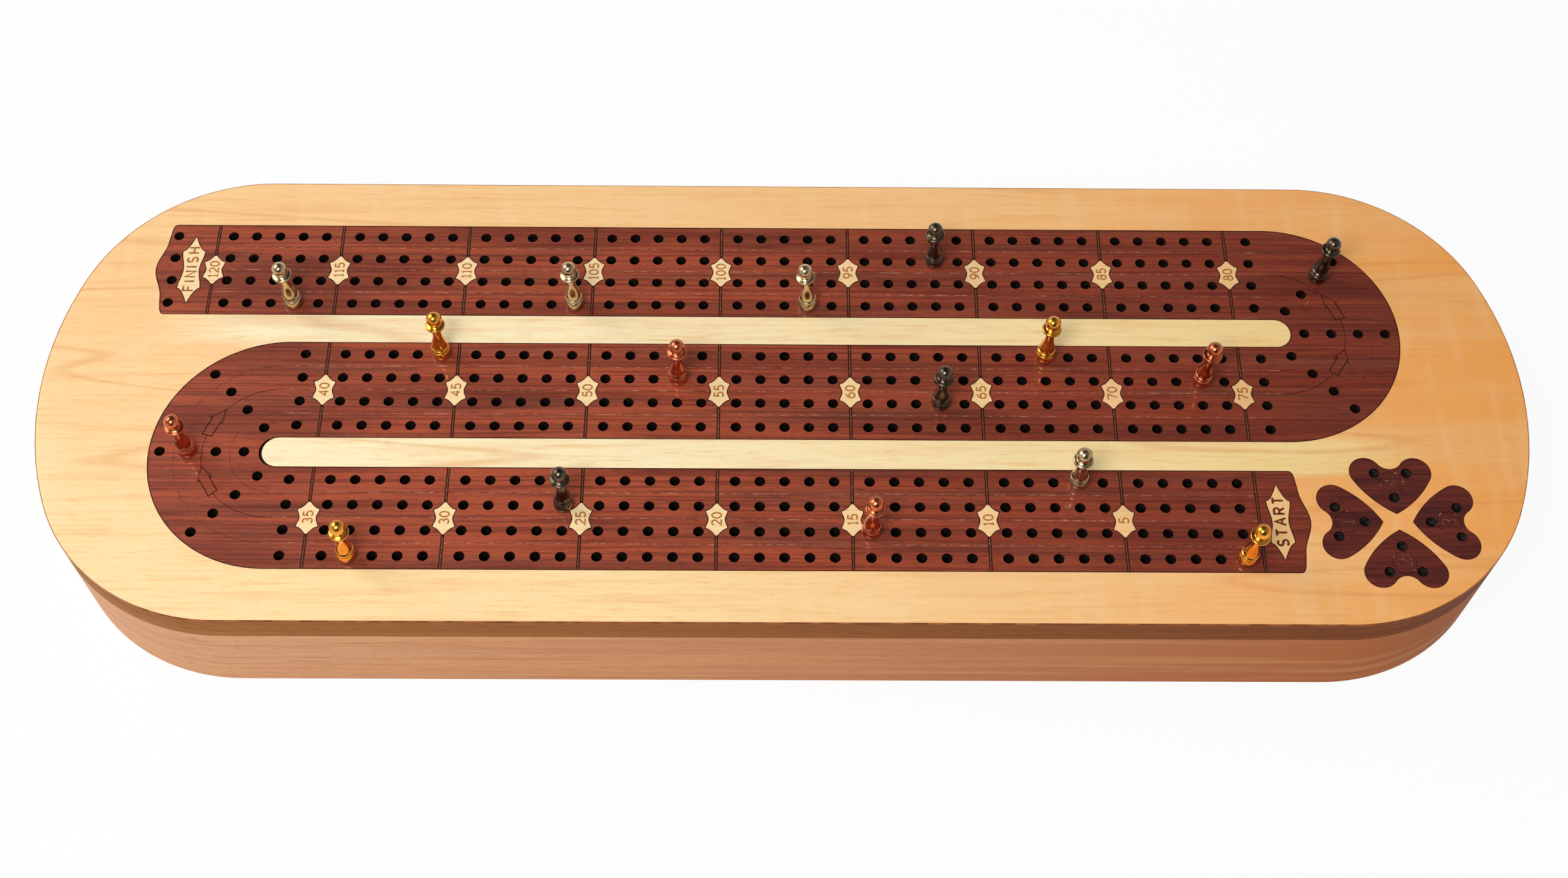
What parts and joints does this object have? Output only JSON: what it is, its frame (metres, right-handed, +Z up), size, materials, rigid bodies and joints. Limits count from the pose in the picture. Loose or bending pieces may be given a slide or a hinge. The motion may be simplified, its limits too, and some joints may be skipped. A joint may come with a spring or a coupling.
{
  "type": "four-track cribbage board",
  "caption": "Inlaid wooden cribbage board with an S-shaped track of peg holes, a clover of hearts, turned metal pegs, and a lid that swivels to open storage wells.",
  "frame": {"origin": "centre of the underside of the base, on the surface it stands on", "axes": "+X along the board towards the start of the track, +Y across it towards the finish row, +Z up"},
  "size_m": [0.452, 0.1542, 0.0628],
  "materials": {
    "base_wood": "satin lacquered stained maple",
    "core_wood": "satin lacquered core, darker along the edge",
    "maple_veneer": "satin lacquered maple veneer",
    "rosewood_veneer": "satin lacquered dark rosewood veneer",
    "shield_veneer": "satin lacquered pale maple veneer, burnt numerals",
    "heart_veneer": "satin lacquered dark rosewood veneer",
    "turned_brass": "turned",
    "nylon": "natural nylon",
    "zinc_steel": "zinc plated",
    "nickel_magnet": "nickel plated magnet",
    "silver_peg_metal": "polished nickel plate",
    "gold_peg_metal": "polished gold-coloured plate",
    "copper_peg_metal": "polished copper plate",
    "black_peg_metal": "polished black nickel plate"
  },
  "bodies": {
    "base": {"base": "base_wood", "thrust_washer": "nylon", "base_magnets": "nickel_magnet"},
    "lid": {"lid_core": "core_wood", "maple_field": "maple_veneer", "track_inlay": "rosewood_veneer", "number_shields": "shield_veneer", "start_plaque": "shield_veneer", "finish_plaque": "shield_veneer", "heart_1": "heart_veneer", "heart_2": "heart_veneer", "heart_3": "heart_veneer", "heart_4": "heart_veneer", "pivot_pin": "turned_brass", "keeper_washer": "zinc_steel", "keeper_screw": "zinc_steel", "lid_magnets": "nickel_magnet"},
    "silver_peg_1": {"silver_peg_1": "silver_peg_metal"},
    "silver_peg_2": {"silver_peg_2": "silver_peg_metal"},
    "silver_peg_3": {"silver_peg_3": "silver_peg_metal"},
    "silver_peg_4": {"silver_peg_4": "silver_peg_metal"},
    "gold_peg_1": {"gold_peg_1": "gold_peg_metal"},
    "gold_peg_2": {"gold_peg_2": "gold_peg_metal"},
    "gold_peg_3": {"gold_peg_3": "gold_peg_metal"},
    "gold_peg_4": {"gold_peg_4": "gold_peg_metal"},
    "copper_peg_1": {"copper_peg_1": "copper_peg_metal"},
    "copper_peg_2": {"copper_peg_2": "copper_peg_metal"},
    "copper_peg_3": {"copper_peg_3": "copper_peg_metal"},
    "copper_peg_4": {"copper_peg_4": "copper_peg_metal"},
    "black_peg_1": {"black_peg_1": "black_peg_metal"},
    "black_peg_2": {"black_peg_2": "black_peg_metal"},
    "black_peg_3": {"black_peg_3": "black_peg_metal"},
    "black_peg_4": {"black_peg_4": "black_peg_metal"}
  },
  "joints": [
    {"name": "lid_swivel", "type": "hinge", "parent": "base", "child": "lid", "pos_m": [-0.19604, 0, 0.0312], "axis": [0, 0, 1], "continuous": true},
    {"name": "silver_peg_1_lift", "type": "slide", "parent": "lid", "child": "silver_peg_1", "axis": [-0.0523, 0, 0.9986], "range_m": [0, 0.02]},
    {"name": "silver_peg_2_lift", "type": "slide", "parent": "lid", "child": "silver_peg_2", "axis": [-0.0349, 0.0349, 0.9988], "range_m": [0, 0.02]},
    {"name": "silver_peg_3_lift", "type": "slide", "parent": "lid", "child": "silver_peg_3", "axis": [-0.0697, 0.0175, 0.9974], "range_m": [0, 0.02]},
    {"name": "silver_peg_4_lift", "type": "slide", "parent": "lid", "child": "silver_peg_4", "axis": [-0.0349, -0.0523, 0.998], "range_m": [0, 0.02]},
    {"name": "gold_peg_1_lift", "type": "slide", "parent": "lid", "child": "gold_peg_1", "axis": [0, 0.0523, 0.9986], "range_m": [0, 0.02]},
    {"name": "gold_peg_2_lift", "type": "slide", "parent": "lid", "child": "gold_peg_2", "axis": [0.0349, 0.0349, 0.9988], "range_m": [0, 0.02]},
    {"name": "gold_peg_3_lift", "type": "slide", "parent": "lid", "child": "gold_peg_3", "axis": [0.0349, -0.0175, 0.9992], "range_m": [0, 0.02]},
    {"name": "gold_peg_4_lift", "type": "slide", "parent": "lid", "child": "gold_peg_4", "axis": [0.0523, -0.0175, 0.9985], "range_m": [0, 0.02]},
    {"name": "copper_peg_1_lift", "type": "slide", "parent": "lid", "child": "copper_peg_1", "axis": [0.0175, 0, 0.9998], "range_m": [0, 0.02]},
    {"name": "copper_peg_2_lift", "type": "slide", "parent": "lid", "child": "copper_peg_2", "axis": [0.0523, 0, 0.9986], "range_m": [0, 0.02]},
    {"name": "copper_peg_3_lift", "type": "slide", "parent": "lid", "child": "copper_peg_3", "axis": [0, -0.0349, 0.9994], "range_m": [0, 0.02]},
    {"name": "copper_peg_4_lift", "type": "slide", "parent": "lid", "child": "copper_peg_4", "axis": [0.0349, -0.0175, 0.9992], "range_m": [0, 0.02]},
    {"name": "black_peg_1_lift", "type": "slide", "parent": "lid", "child": "black_peg_1", "axis": [-0.0523, -0.0349, 0.998], "range_m": [0, 0.02]},
    {"name": "black_peg_2_lift", "type": "slide", "parent": "lid", "child": "black_peg_2", "axis": [0.0523, 0, 0.9986], "range_m": [0, 0.02]},
    {"name": "black_peg_3_lift", "type": "slide", "parent": "lid", "child": "black_peg_3", "axis": [0, -0.0175, 0.9998], "range_m": [0, 0.02]},
    {"name": "black_peg_4_lift", "type": "slide", "parent": "lid", "child": "black_peg_4", "axis": [0.0175, 0.0175, 0.9997], "range_m": [0, 0.02]}
  ]
}
